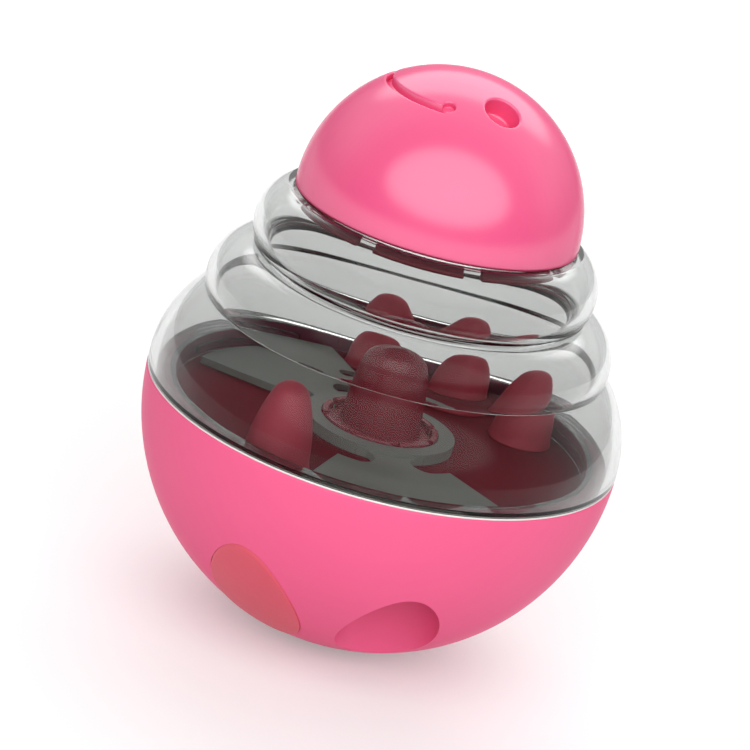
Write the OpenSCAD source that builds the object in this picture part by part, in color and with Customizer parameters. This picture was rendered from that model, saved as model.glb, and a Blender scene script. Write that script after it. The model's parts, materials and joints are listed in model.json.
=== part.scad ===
// Self-righting treat dispenser: a weighted bowl, a clear body of three rings and a domed cap.
// Millimetres. The origin is the middle of the flat foot, +Z is up and the treat outlet faces -Y.

/* [Bowl] */
// Outer radius of the bowl
base_r = 50; // [46:0.5:58]
// Wall of the bowl
base_wall = 2.6; // [2:0.1:4]
// Wall of the bowl's rim, where the clear body plugs in
rim_wall = 3.6; // [3:0.1:5]
// Radius of the flat foot under the bowl
foot_r = 9; // [5:0.5:12]

/* [Treat tubes] */
// Bore of the open treat outlet
outlet_d = 19.6; // [16:0.2:21]
// Bore of the tube that holds the front left peg
peg_bore_d = 20.8; // [18.6:0.2:21]
// Bore of the tubes that hold the pegs at the back
back_bore_d = 15.6; // [15:0.2:15.8]
// Wall of the tubes
tube_wall = 1.8; // [1.2:0.1:2.5]
// Angle from the outlet to the front left peg
outlet_to_peg = 45; // [42:1:50]
// Angle between the pegs at the back
peg_step = 32; // [32:1:36]
// Angle that the front left peg stands off its foot
front_peg_shift = 5.5; // [0:0.5:5.5]

/* [Floor tray] */
// Depth of the floor below the bowl's rim
floor_drop = 5; // [5:0.5:9]
// Thickness of the floor
tray_t = 2; // [1.5:0.1:3]
// Diameter of the hole that treats drop through
drop_d = 14; // [10:0.5:15]

/* [Rubber pegs] */
// Height of a peg above the floor
peg_h = 16.5; // [12:0.5:18]
// Diameter of a peg just above its collar
peg_d = 13.2; // [10:0.2:13.4]
// Diameter of the collar that snaps over the floor
peg_collar_d = 14; // [13.8:0.1:15]
// Radius of the curve of a peg's side
peg_side_r = 28; // [24:1:40]
// How far a peg's foot stands proud of the bowl
foot_proud = 0.3; // [0.1:0.1:0.6]

/* [Centre post] */
// Diameter of the post at its foot
post_d = 16.6; // [14:0.2:18]
// Height of the post above the floor
post_h = 21; // [16:0.5:26]
// Radius of the curve of the post's side
post_side_r = 60; // [45:1:90]
// Outer diameter of the notched ring round the post
crown_d = 24.8; // [22:0.2:27]
// Number of notches in the ring
crown_notches = 8; // [6:1:10]

/* [Selector plate] */
// Thickness of the plate
plate_t = 1.6; // [1.2:0.1:2]
// Radial width of the hub ring
hub_w = 3.4; // [2.5:0.1:5]
// Radial width of the slots between hub and blades
slot_w = 6.8; // [5:0.2:8]
// Width of the arms
arm_w = 8; // [6:0.5:10]
// Half of the angle that the front blade covers
front_blade_half = 31; // [24:0.5:32]
// Half of the angle that the left blade covers
left_blade_half = 26.5; // [20:0.5:26.5]
// Gap that a blade leaves to the peg that stops it
stop_gap = 1.4; // [0.6:0.1:2]

/* [Clear body] */
// Wall of the clear body
clear_wall = 2; // [1.6:0.1:2.4]
// Radius of the curve above the flange
skirt_arc_r = 23.5; // [22:0.5:25]
// Height of the flange's straight edge above the bowl's rim
flange_h = 1.5; // [1.2:0.1:2.5]
// Thickness of the flange that rests on the seal
flange_t = 1.2; // [1:0.1:2]
// Radius of the middle ring's round section
ring1_r = 9.2; // [8.8:0.1:9.8]
// Distance of that section's centre from the axis
ring1_mid_r = 33.4; // [32.6:0.1:34.4]
// Height of that section's centre above the bowl's rim
ring1_z = 21.5; // [20.6:0.1:22.2]
// Radius of the top ring's round section
ring2_r = 9; // [8.6:0.1:9.5]
// Distance of that section's centre from the axis
ring2_mid_r = 26.9; // [26:0.1:27.6]
// Height of that section's centre above the bowl's rim
ring2_z = 35.4; // [34.6:0.1:36.2]
// Wall of the neck
neck_wall = 1.8; // [1.4:0.1:2.4]

/* [Twist lock] */
// Number of lugs round the neck
lug_count = 3; // [2:1:4]
// Angle that one lug covers
lug_arc = 40; // [24:1:44]
// Angle that one ledge in the bowl covers
ledge_arc = 56; // [40:1:60]
// How far a lug reaches out of the neck
lug_reach = 1.1; // [0.8:0.1:1.6]
// Height of a lug
lug_h = 1.7; // [1.2:0.1:1.9]
// Height of a ledge
ledge_h = 1.6; // [1.2:0.1:1.7]

/* [Seal] */
// Thickness of the gasket in the seam
seal_t = 0.8; // [0.5:0.1:1.2]

/* [Dome] */
// Outer radius of the dome
dome_r = 29.5; // [28.8:0.1:30.4]
// Wall of the dome
dome_wall = 2.4; // [2:0.1:3]
// Height of the straight band under the dome
dome_band = 0.8; // [0.4:0.1:1.5]
// Direction in which the smile points, from +X
face_angle = 170; // [0:5:355]
// Diameter of an eye pocket
eye_d = 7.4; // [5:0.2:8]
// Distance of the eyes from the axis
eye_pitch_r = 13.1; // [10:0.1:14]
// Angle from the middle of the smile to an eye
eye_turn = 114; // [100:1:120]
// Depth of an eye pocket
eye_depth = 4.5; // [2:0.5:5]
// Distance of the smile groove from the axis
smile_pitch_r = 16.2; // [15:0.1:18]
// Width of the smile groove
smile_w = 1.7; // [1.2:0.1:2.4]
// Depth of the smile groove
smile_depth = 1.5; // [0.8:0.1:1.8]
// Half of the angle that the smile covers
smile_half = 69; // [50:1:80]
// Diameter of the round ends of the smile
smile_end_d = 2.8; // [2:0.1:3.4]
// Number of snap fingers under the dome
finger_count = 8; // [4:1:12]
// Width of the slots between the fingers
finger_gap = 4; // [2:0.5:6]

/* [Ballast] */
// Height of the weight's top above the foot
ballast_top = 15; // [12:0.5:18]
// Wall of the collar round the weight
collar_wall = 2.4; // [2:0.1:3]
// Thickness of the cover over the weight
cover_t = 2; // [1.5:0.1:3]
// Radius of the pillar that the cover screws to
pillar_r = 4.5; // [4:0.1:6]

/* [Screws and clearances] */
// Shank radius of the screws
screw_r = 1.5; // [1.2:0.1:1.7]
// Head radius of the screws
screw_head_r = 3.1; // [2.8:0.1:4]
// Head height of the screws
screw_head_h = 2.2; // [1.6:0.1:2.8]
// Length of the screws' shanks
screw_l = 8; // [6:0.5:9]
// Radius of the post's stem
stem_r = 3.95; // [3.4:0.05:4.5]
// Length of the floor's bearing under the post
bearing_l = 5; // [4:0.5:8]
// Thickness of the washer under the post
washer_t = 1; // [0.6:0.1:1.5]
// Gap between pieces that lift or turn past each other
loose_gap = 0.4; // [0.3:0.05:0.5]
// Gap between pieces that are pushed together
snug_gap = 0.1; // [0.05:0.01:0.15]
// Radial gap of the post's stem in the floor
running_gap = 0.05; // [0.03:0.01:0.1]

/* [Hidden] */
$fn = 96;
pink = "#f4628f";
red_rubber = "#d4586a";
over = 1;

// Levels, from the foot up
rim_z = sqrt(base_r * base_r - foot_r * foot_r);
floor_z = rim_z - floor_drop;
tray_z = floor_z - tray_t;
tube_top_z = tray_z - 2 * snug_gap;
plate_z = floor_z + 2 * snug_gap;
flange_z = rim_z + seal_t;
skirt_z = rim_z + flange_h;
collar_z = ballast_top + loose_gap;
cover_top_z = collar_z + cover_t;

// Radii that fit the clear body into the bowl
seat_r = base_r - rim_wall;
neck_r = seat_r - loose_gap - lug_reach;
neck_bore_r = neck_r - neck_wall;
ledge_r = neck_r + loose_gap;
lug_z = rim_z - 2 * loose_gap - ledge_h - lug_h;
neck_z = lug_z - loose_gap;
tray_r = seat_r - loose_gap;
shelf_r = tray_r - tray_t / 2;
shelf_h = 2;

// Places of the tubes and pegs
peg_r = peg_d / 2;
peg_collar_r = peg_collar_d / 2;
collar_h = 1.4;
peg_bore_r = peg_bore_d / 2;
back_bore_r = back_bore_d / 2;
tube_pitch_r = neck_bore_r - loose_gap - peg_collar_r;
outlet_angle = -90;
front_peg_angle = outlet_angle - outlet_to_peg;
back_peg_angles = [for (i = [-1:1]) front_peg_angle + 180 + i * peg_step];
tube_angles = concat([front_peg_angle], back_peg_angles);
peg_angles = concat([front_peg_angle - front_peg_shift], back_peg_angles);
bore_radii = [peg_bore_r, back_bore_r, back_bore_r, back_bore_r];
tube_inner_r = tube_pitch_r - peg_bore_r - tube_wall;
ballast_collar_r = tube_inner_r + tube_wall / 2;
ballast_r = ballast_collar_r - collar_wall - loose_gap;
cover_r = tube_inner_r - loose_gap;

// Selector plate, turned by the post and stopped by the pegs
crown_r = crown_d / 2;
crown_wall = 1.4;
crown_floor_t = 1.4;
crown_h = 3;
notch_w = 1.8;
key_reach = crown_wall - 2 * snug_gap;
hub_in_r = crown_r + 2 * snug_gap;
hub_r = hub_in_r + hub_w;
hub_rise = 0.8;
hub_h = plate_t + hub_rise;
blade_in_r = hub_r + slot_w;
arm_foot_half = (arm_w + slot_w) / 2;
bite_x = sqrt(pow(hub_r + slot_w / 2, 2) - arm_foot_half * arm_foot_half);
bite_r = slot_w / 2 + 2 * snug_gap;
blade_r = neck_bore_r - 2 * loose_gap - snug_gap;
drop_r = drop_d / 2;
drop_pitch_r = blade_r - 4 * snug_gap - drop_r;
peg_half_angle = asin(peg_collar_r / tube_pitch_r);
stop_angle = asin(stop_gap / tube_pitch_r);
blade_halves = [front_blade_half, left_blade_half];
stop_pegs = [peg_angles[0], peg_angles[3]];
blade_angles = [for (i = [0:1]) stop_pegs[i] + peg_half_angle + stop_angle + blade_halves[i]];

// Lip that the dome sits on
lip_z = ring2_z + sqrt(ring2_r * ring2_r - pow(dome_r + loose_gap - ring2_mid_r, 2));
dome_z = lip_z + dome_band;
skirt_wall = 1.5;
lip_bore_r = dome_r - skirt_wall;
lip_drop = 4;
skirt_r = lip_bore_r - 3 * snug_gap;
bead_h = 0.8;
bead_reach = 0.8;
skirt_drop = lip_drop + bead_h + 2 * snug_gap;

// Turn of the smile's round ends past the ends of its groove
smile_end_turn = asin(smile_end_d / 4 / smile_pitch_r);

// Where the middle and top rings meet on the outside
ring_dr = ring2_mid_r - ring1_mid_r;
ring_dz = ring2_z - ring1_z;
ring_gap = norm([ring_dr, ring_dz]);
ring_along = (ring_gap * ring_gap + ring1_r * ring1_r - ring2_r * ring2_r) / (2 * ring_gap);
ring_aside = sqrt(ring1_r * ring1_r - ring_along * ring_along);
groove_r = ring1_mid_r + (ring_along * ring_dr + ring_aside * ring_dz) / ring_gap;

// Post fixing
stem_end_z = tray_z - bearing_l - 3 * snug_gap;
stem_bore_r = stem_r + running_gap;
bearing_wall = 3;
washer_r = stem_bore_r + bearing_wall - over;
pilot_r = screw_r + running_gap;
screw_hole_r = screw_r + snug_gap;

module at(pitch_r, angle) {
  rotate(angle) translate([pitch_r, 0, 0]) children();
}

module ring(r_out, r_in, h) {
  difference() {
    cylinder(r = r_out, h = h);
    translate([0, 0, -over]) cylinder(r = r_in, h = h + 2 * over);
  }
}

// Ball concentric with the bowl
module bowl_ball(r) {
  translate([0, 0, rim_z]) sphere(r);
}

// Arc of a ring, centred on +X
module ring_arc(r_out, r_in, h, arc) {
  rotate(-arc / 2) rotate_extrude(angle = arc) translate([r_in, 0]) square([r_out - r_in, h]);
}

// Half of a round-nosed bullet in the r-z plane: a curved side that runs into a ball tip
module bullet_profile(foot, h, side_r) {
  mid = side_r - foot;
  tip = (side_r * side_r - mid * mid - h * h) / (2 * (side_r - h));
  join_z = side_r * (h - tip) / (side_r - tip);
  intersection() {
    union() {
      intersection() {
        translate([-mid, 0]) circle(side_r);
        square([foot, join_z]);
      }
      translate([0, h - tip]) circle(tip);
    }
    square([foot, h]);
  }
}

// Screw with its head under z = 0 and its shank pointing up
module screw() {
  translate([0, 0, -screw_head_h]) cylinder(r = screw_head_r, h = screw_head_h);
  cylinder(r = screw_r, h = screw_l);
}

module bowl_tubes() {
  at(tube_pitch_r, outlet_angle) cylinder(r = outlet_d / 2 + tube_wall, h = tube_top_z);
  for (i = [0:3]) at(tube_pitch_r, tube_angles[i]) cylinder(r = bore_radii[i] + tube_wall, h = tube_top_z);
}

module bowl_bores() {
  at(tube_pitch_r, outlet_angle) translate([0, 0, -over]) cylinder(r = outlet_d / 2, h = rim_z);
  for (i = [0:3])
    at(tube_pitch_r, tube_angles[i]) translate([0, 0, -over]) cylinder(r = bore_radii[i], h = rim_z);
  translate([0, 0, collar_z - screw_l]) cylinder(r = pilot_r, h = screw_l + over);
}

// What stands inside the bowl: rim seat, shelf for the floor, ledges, tubes, collar and pillar
module bowl_inside() {
  translate([0, 0, tray_z - shelf_h]) {
    ring(base_r, seat_r, shelf_h + tray_t + floor_drop);
    ring(seat_r + over, shelf_r, shelf_h);
  }
  for (i = [0:lug_count - 1]) {
    rotate((i + 0.5) * 360 / lug_count) translate([0, 0, rim_z - ledge_h - loose_gap])
      ring_arc(seat_r + over / 2, ledge_r, ledge_h, ledge_arc);
  }
  bowl_tubes();
  ring(ballast_collar_r, ballast_collar_r - collar_wall, collar_z);
  cylinder(r = pillar_r, h = collar_z);
}

module base_shell() {
  color(pink) difference() {
    intersection() {
      union() {
        difference() {
          bowl_ball(base_r);
          bowl_ball(base_r - base_wall);
        }
        intersection() {
          bowl_inside();
          bowl_ball(base_r - base_wall / 4);
        }
      }
      cylinder(r = base_r + over, h = rim_z);
    }
    bowl_bores();
  }
}

module peg_tray() {
  color(pink) difference() {
    union() {
      translate([0, 0, tray_z]) cylinder(r = tray_r, h = tray_t);
      translate([0, 0, tray_z - bearing_l]) cylinder(r = stem_bore_r + bearing_wall, h = bearing_l + over);
    }
    translate([0, 0, tray_z - bearing_l - over])
      cylinder(r = stem_bore_r, h = bearing_l + tray_t + 2 * over);
    translate([0, 0, tray_z - over]) {
      at(drop_pitch_r, outlet_angle) cylinder(r = drop_r, h = tray_t + 2 * over);
      for (a = peg_angles) at(tube_pitch_r, a) cylinder(r = peg_r + snug_gap, h = tray_t + 2 * over);
    }
  }
}

// Rubber peg: a plug that fills its tube, a waist through the floor, a collar and a round-nosed peg
module rubber_peg(i) {
  color(red_rubber) {
    intersection() {
      at(tube_pitch_r, tube_angles[i]) cylinder(r = bore_radii[i] - snug_gap, h = tray_z - snug_gap);
      bowl_ball(base_r + foot_proud);
    }
    at(tube_pitch_r, peg_angles[i]) {
      translate([0, 0, tray_z - over]) cylinder(r = peg_r, h = tray_t + over + collar_h);
      translate([0, 0, floor_z + snug_gap]) cylinder(r1 = peg_collar_r, r2 = peg_r, h = collar_h);
      translate([0, 0, floor_z]) rotate_extrude() bullet_profile(peg_r, peg_h, peg_side_r);
    }
  }
}

module peg_front_left() {
  rubber_peg(0);
}

module peg_right() {
  rubber_peg(1);
}

module peg_back_right() {
  rubber_peg(2);
}

module peg_back() {
  rubber_peg(3);
}

module ballast_weight() {
  color("#6f7377") difference() {
    intersection() {
      bowl_ball(base_r - base_wall - loose_gap);
      cylinder(r = ballast_r, h = ballast_top);
    }
    cylinder(r = pillar_r + loose_gap, h = ballast_top + over);
  }
}

module ballast_cover() {
  color("#d9dadb") translate([0, 0, collar_z]) ring(cover_r, screw_hole_r, cover_t);
}

module ballast_screw() {
  color("#b9bcc0") translate([0, 0, cover_top_z]) mirror([0, 0, 1]) screw();
}

module seam_seal() {
  color("#f2f2ee") translate([0, 0, rim_z]) ring(base_r - snug_gap, ledge_r, seal_t);
}

// Outside of the clear body in the r-z plane, from the flange up
module clear_outside() {
  translate([0, flange_z]) square([base_r, skirt_z - flange_z]);
  intersection() {
    translate([base_r - skirt_arc_r, skirt_z]) circle(skirt_arc_r);
    translate([0, skirt_z]) square([base_r, skirt_arc_r]);
  }
  translate([ring1_mid_r, rim_z + ring1_z]) circle(ring1_r);
  intersection() {
    translate([ring2_mid_r, rim_z + ring2_z]) circle(ring2_r);
    translate([0, rim_z]) square([base_r, lip_z]);
  }
}

// Space inside the clear body in the r-z plane
module clear_inside() {
  intersection() {
    translate([base_r - skirt_arc_r, skirt_z]) circle(skirt_arc_r - clear_wall);
    translate([0, flange_z + flange_t]) square([base_r, skirt_arc_r]);
  }
  translate([0, flange_z + flange_t]) square([ring1_mid_r - ring1_r / 2, ring1_z]);
  translate([ring1_mid_r, rim_z + ring1_z]) circle(ring1_r - clear_wall);
  translate([0, rim_z + ring1_z]) square([groove_r - clear_wall - loose_gap, ring_dz]);
  translate([ring2_mid_r, rim_z + ring2_z]) circle(ring2_r - clear_wall);
  translate([0, rim_z + ring1_z]) square([lip_bore_r, lip_z]);
  translate([0, flange_z - over]) square([neck_bore_r, flange_t + 2 * over]);
}

module clear_body() {
  color("#c9cfcc", 0.4) {
    rotate_extrude() {
      difference() {
        clear_outside();
        clear_inside();
      }
    }
    translate([0, 0, neck_z]) ring(neck_r, neck_bore_r, flange_z - neck_z + over);
    translate([0, 0, rim_z + lip_z - lip_drop]) ring(dome_r + snug_gap, lip_bore_r, lip_drop - over);
    for (i = [0:lug_count - 1]) {
      rotate(i * 360 / lug_count) translate([0, 0, lug_z])
        ring_arc(neck_r + lug_reach, neck_r - neck_wall / 2, lug_h, lug_arc);
    }
  }
}

// Snap fingers under the dome, each with a bead that hooks under the lip
module dome_fingers() {
  difference() {
    union() {
      translate([0, 0, -skirt_drop]) ring(skirt_r, skirt_r - skirt_wall, skirt_drop + over);
      translate([0, 0, -skirt_drop]) ring(skirt_r + bead_reach, skirt_r - skirt_wall, bead_h);
    }
    for (i = [0:finger_count - 1]) {
      rotate(i * 360 / finger_count) translate([0, -finger_gap / 2, -skirt_drop - over])
        cube([dome_r, finger_gap, skirt_drop + over]);
    }
  }
}

module dome_half(r) {
  intersection() {
    sphere(r);
    cylinder(r = r + over, h = r + over);
  }
}

module eyes(r, h) {
  for (side = [-1, 1]) at(eye_pitch_r, face_angle + side * eye_turn) cylinder(r = r, h = h);
}

// Vertical cutters of the face, kept to a depth under the dome's surface
module face_cuts() {
  difference() {
    eyes(eye_d / 2, dome_r + over);
    sphere(dome_r - eye_depth);
  }
  difference() {
    union() {
      rotate(face_angle) ring_arc(smile_pitch_r + smile_w / 2, smile_pitch_r - smile_w / 2, dome_r + over,
                                  2 * smile_half);
      for (side = [-1, 1]) {
        at(smile_pitch_r - smile_end_d / 3, face_angle + side * (smile_half + smile_end_turn))
          cylinder(r = smile_end_d / 2, h = dome_r + over);
      }
    }
    sphere(dome_r - smile_depth);
  }
}

module dome_cap() {
  color(pink) translate([0, 0, rim_z + dome_z]) {
    difference() {
      union() {
        difference() {
          union() {
            dome_half(dome_r);
            translate([0, 0, -dome_band]) cylinder(r = dome_r, h = dome_band);
          }
          sphere(dome_r - dome_wall);
          translate([0, 0, -dome_band - over]) cylinder(r = skirt_r - skirt_wall, h = dome_band + over);
        }
        intersection() {
          difference() {
            eyes(eye_d / 2 + dome_wall / 2, dome_r);
            sphere(dome_r - eye_depth - dome_wall / 2);
          }
          sphere(dome_r - dome_wall / 2);
        }
      }
      face_cuts();
    }
    translate([0, 0, -dome_band]) dome_fingers();
  }
}

// One arm of the selector with its blade, centred on +X. Round bites end the slots beside the arm
module selector_arm(half) {
  difference() {
    intersection() {
      ring(blade_in_r + over, hub_in_r + hub_w / 2, plate_t);
      translate([0, -arm_foot_half, -over]) cube([blade_r, 2 * arm_foot_half, plate_t + 2 * over]);
    }
    for (side = [-1, 1]) {
      translate([bite_x, side * arm_foot_half, -over]) cylinder(r = bite_r, h = plate_t + 2 * over);
    }
  }
  ring_arc(blade_r, blade_in_r, plate_t, 2 * half);
}

module selector_plate() {
  color("#9aa09c") translate([0, 0, plate_z]) {
    for (i = [0:1]) rotate(blade_angles[i]) selector_arm(blade_halves[i]);
    ring(hub_r, hub_in_r, hub_h);
    for (i = [0:crown_notches - 1]) {
      rotate(i * 360 / crown_notches)
        translate([hub_in_r - key_reach, snug_gap - notch_w / 2, 0])
          cube([key_reach + hub_w / 2, notch_w - 2 * snug_gap, plate_t]);
    }
  }
}

module center_post() {
  color(pink) {
    translate([0, 0, floor_z]) difference() {
      translate([0, 0, 2 * snug_gap]) union() {
        cylinder(r = crown_r, h = crown_floor_t);
        ring(crown_r, crown_r - crown_wall, crown_h);
        rotate_extrude() bullet_profile(post_d / 2, post_h, post_side_r);
        translate([0, 0, stem_end_z - plate_z]) cylinder(r = stem_r, h = plate_z - stem_end_z + over);
      }
      for (i = [0:crown_notches - 1]) {
        rotate(i * 360 / crown_notches) translate([crown_r - crown_wall - over / 2, -notch_w / 2, 0])
          cube([crown_wall + over, notch_w, crown_h + over]);
      }
      translate([0, 0, stem_end_z - floor_z - over]) cylinder(r = pilot_r, h = screw_l + over);
    }
  }
}

module post_washer() {
  color("#c4c7ca") translate([0, 0, stem_end_z - washer_t])
    ring(washer_r, screw_hole_r, washer_t);
}

module post_screw() {
  color("#b9bcc0") translate([0, 0, stem_end_z - washer_t]) screw();
}

base_shell();
peg_tray();
peg_front_left();
peg_right();
peg_back_right();
peg_back();
ballast_weight();
ballast_cover();
ballast_screw();
seam_seal();
clear_body();
dome_cap();
selector_plate();
center_post();
post_washer();
post_screw();
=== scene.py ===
import json
import math

import bpy
from mathutils import Matrix, Vector


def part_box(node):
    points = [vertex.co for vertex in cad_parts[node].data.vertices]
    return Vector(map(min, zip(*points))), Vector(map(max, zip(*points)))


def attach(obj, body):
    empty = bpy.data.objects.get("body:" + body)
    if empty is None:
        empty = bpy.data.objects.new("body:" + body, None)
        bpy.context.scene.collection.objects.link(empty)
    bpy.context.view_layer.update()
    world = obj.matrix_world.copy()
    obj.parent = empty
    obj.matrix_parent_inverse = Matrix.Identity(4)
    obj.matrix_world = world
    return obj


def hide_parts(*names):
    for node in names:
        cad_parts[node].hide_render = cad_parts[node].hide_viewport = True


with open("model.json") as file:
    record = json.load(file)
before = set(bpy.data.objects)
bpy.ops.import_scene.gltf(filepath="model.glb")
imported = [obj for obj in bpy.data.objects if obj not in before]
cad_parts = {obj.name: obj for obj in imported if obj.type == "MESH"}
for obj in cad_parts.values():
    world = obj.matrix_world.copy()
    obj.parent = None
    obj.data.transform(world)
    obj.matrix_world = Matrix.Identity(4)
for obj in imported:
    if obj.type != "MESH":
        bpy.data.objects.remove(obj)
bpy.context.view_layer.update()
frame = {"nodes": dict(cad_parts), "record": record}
nodes = frame["nodes"]
bodies = frame["record"]["behaviour"]["bodies"]
bodyOf = {node: body for body, members in bodies.items() for node in members}
mm = 0.001
print("frame loaded with", len(nodes), "nodes")


def boxMm(node):
    low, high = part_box(node)
    return low / mm, high / mm


# levels and radii that every piece shares, in millimetres from the foot
bowlR, rimZ = round(boxMm("base_shell")[1].x, 1), boxMm("base_shell")[1].z
floorZ = boxMm("peg_tray")[1].z
domeR = round(boxMm("dome_cap")[1].x, 1)
domeZ = boxMm("dome_cap")[1].z - domeR
lipZ = boxMm("clear_body")[1].z
flangeZ = boxMm("seam_seal")[1].z


# modelling helpers: points closer than these millimetres are one, angles in degrees
meshSize = {"merge": 0.002, "sliver": 0.004, "cadMerge": 0.005, "flat": 0.5, "easeFrom": 40, "easeRows": 3}


def selectOnly(piece):
    bpy.ops.object.select_all(action="DESELECT")
    piece.select_set(True)
    bpy.context.view_layer.objects.active = piece


def arcPoints(centre, radius, fromDeg, toDeg, count):
    turns = [math.radians(fromDeg + (toDeg - fromDeg) * i / (count - 1)) for i in range(count)]
    return [(centre[0] + radius * math.cos(a), centre[1] + radius * math.sin(a)) for a in turns]


def meetOf(first, firstR, second, secondR):
    # outer crossing of two circles in the r-z plane
    along = Vector(second) - Vector(first)
    gap = along.length
    near = (gap * gap + firstR * firstR - secondR * secondR) / (2 * gap)
    aside = math.sqrt(firstR * firstR - near * near)
    unit = along / gap
    return (first[0] + unit.x * near + unit.y * aside, first[1] + unit.y * near - unit.x * aside)


def angleOf(centre, point):
    return math.degrees(math.atan2(point[1] - centre[1], point[0] - centre[0]))


def turned(name, outline, steps=160, sweep=360):
    # a vertex is drawn along the outline, and the line is spun round the upright axis
    bpy.ops.object.select_all(action="DESELECT")
    bpy.ops.mesh.primitive_plane_add(size=mm, location=(outline[0][0] * mm, 0, outline[0][1] * mm))
    piece = bpy.context.object
    piece.name = piece.data.name = name
    bpy.ops.object.transform_apply(location=True, rotation=True, scale=True)
    bpy.ops.object.mode_set(mode="EDIT")
    bpy.ops.mesh.select_all(action="SELECT")
    bpy.ops.mesh.merge(type="CENTER")
    for (r0, z0), (r1, z1) in zip(outline, outline[1:]):
        step = ((r1 - r0) * mm, 0, (z1 - z0) * mm)
        bpy.ops.mesh.extrude_vertices_move(TRANSFORM_OT_translate={"value": step})
    bpy.ops.mesh.select_all(action="SELECT")
    bpy.ops.mesh.remove_doubles(threshold=meshSize["merge"] * mm)
    bpy.ops.mesh.spin(steps=steps, angle=math.radians(sweep), center=(0, 0, 0), axis=(0, 0, 1))
    bpy.ops.mesh.select_all(action="SELECT")
    bpy.ops.mesh.remove_doubles(threshold=meshSize["merge"] * mm)
    if sweep < 360:
        bpy.ops.mesh.select_all(action="DESELECT")
        bpy.ops.mesh.select_non_manifold(use_wire=False, use_boundary=True, use_multi_face=False,
                                         use_non_contiguous=False, use_verts=False)
        bpy.ops.mesh.fill_holes(sides=0)
        bpy.ops.mesh.select_all(action="SELECT")
    bpy.ops.mesh.normals_make_consistent(inside=False)
    bpy.ops.object.mode_set(mode="OBJECT")
    if sweep < 360:  # centred on +X
        middle = sum((v.co for v in piece.data.vertices), Vector()) / len(piece.data.vertices)
        place(piece, turn=-math.degrees(math.atan2(middle.y, middle.x)))
    return piece


def place(piece, x=0, y=0, z=0, tilt=0, turn=0):
    piece.rotation_euler = (0, math.radians(tilt), math.radians(turn))
    piece.location = (x * mm, y * mm, z * mm)
    selectOnly(piece)
    bpy.ops.object.transform_apply(location=True, rotation=True, scale=True)
    return piece


def copyOf(piece, name):
    twin = piece.copy()
    twin.data = piece.data.copy()
    twin.name = twin.data.name = name
    bpy.context.scene.collection.objects.link(twin)
    return twin


def ringOf(piece, turns):
    # one object with a copy of the piece at each turn
    copies = [place(copyOf(piece, piece.name), turn=turn) for turn in turns]
    bpy.data.objects.remove(piece, do_unlink=True)
    return joined(copies)


def joined(pieces):
    bpy.ops.object.select_all(action="DESELECT")
    for piece in pieces:
        piece.select_set(True)
    bpy.context.view_layer.objects.active = pieces[0]
    bpy.ops.object.join()
    return pieces[0]


def combine(piece, tool, operation):
    step = piece.modifiers.new("combine", "BOOLEAN")
    step.object, step.operation, step.solver = tool, operation, "EXACT"
    selectOnly(piece)
    bpy.ops.object.modifier_apply(modifier=step.name)
    bpy.data.objects.remove(tool, do_unlink=True)


def pillar(name, radius, low, high, steps=96):
    return turned(name, [(0, low), (radius, low), (radius, high), (0, high)], steps)


def block(name, spans, x, z):
    bpy.ops.object.select_all(action="DESELECT")
    bpy.ops.mesh.primitive_cube_add(size=1)
    piece = bpy.context.object
    piece.name = name
    piece.scale = [span * mm for span in spans]
    return place(piece, x, 0, z)


def finish(piece, node, material, sharp=32):
    selectOnly(piece)
    bpy.ops.object.mode_set(mode="EDIT")
    bpy.ops.mesh.select_all(action="SELECT")
    bpy.ops.mesh.remove_doubles(threshold=meshSize["sliver"] * mm)  # slivers left by the cuts
    bpy.ops.mesh.dissolve_degenerate(threshold=meshSize["sliver"] * mm)
    bpy.ops.mesh.normals_make_consistent(inside=False)
    bpy.ops.object.mode_set(mode="OBJECT")
    bpy.ops.object.shade_smooth_by_angle(angle=math.radians(sharp))
    step = piece.modifiers.new("even_normals", "WEIGHTED_NORMAL")
    step.keep_sharp = True
    bpy.ops.object.modifier_apply(modifier=step.name)
    piece.data.materials.clear()
    piece.data.materials.append(material)
    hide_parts(node)
    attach(piece, bodyOf[node])
    print(piece.name, "made with", len(piece.data.polygons), "faces")


# material helpers
def linear(hexColour):
    channels = [int(hexColour[i:i + 2], 16) / 255 for i in (1, 3, 5)]
    return [c / 12.92 if c <= 0.04045 else ((c + 0.055) / 1.055) ** 2.4 for c in channels] + [1.0]


def addNode(tree, kind, values=None, links=None, **settings):
    node = tree.nodes.new(kind)
    for name, value in settings.items():
        setattr(node, name, value)
    for socket, value in (values or {}).items():
        node.inputs[socket].default_value = value
    for socket, source in (links or {}).items():
        tree.links.new(source, node.inputs[socket])
    return node


def startMaterial(name, **values):
    material = bpy.data.materials.new(name)
    material.use_nodes = True
    tree = material.node_tree
    tree.nodes.clear()
    shader = addNode(tree, "ShaderNodeBsdfPrincipled", values)
    addNode(tree, "ShaderNodeOutputMaterial", links={"Surface": shader.outputs["BSDF"]})
    spot = addNode(tree, "ShaderNodeTexCoord").outputs["Object"]
    return material, tree, shader, spot


def perMetre(sizeMm):
    return 1 / (sizeMm * mm)


plasticSkin = {"shineFade": (0.35, 0.72), "reliefMm": 0.05}  # the shine fades towards slanting sides


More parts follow.
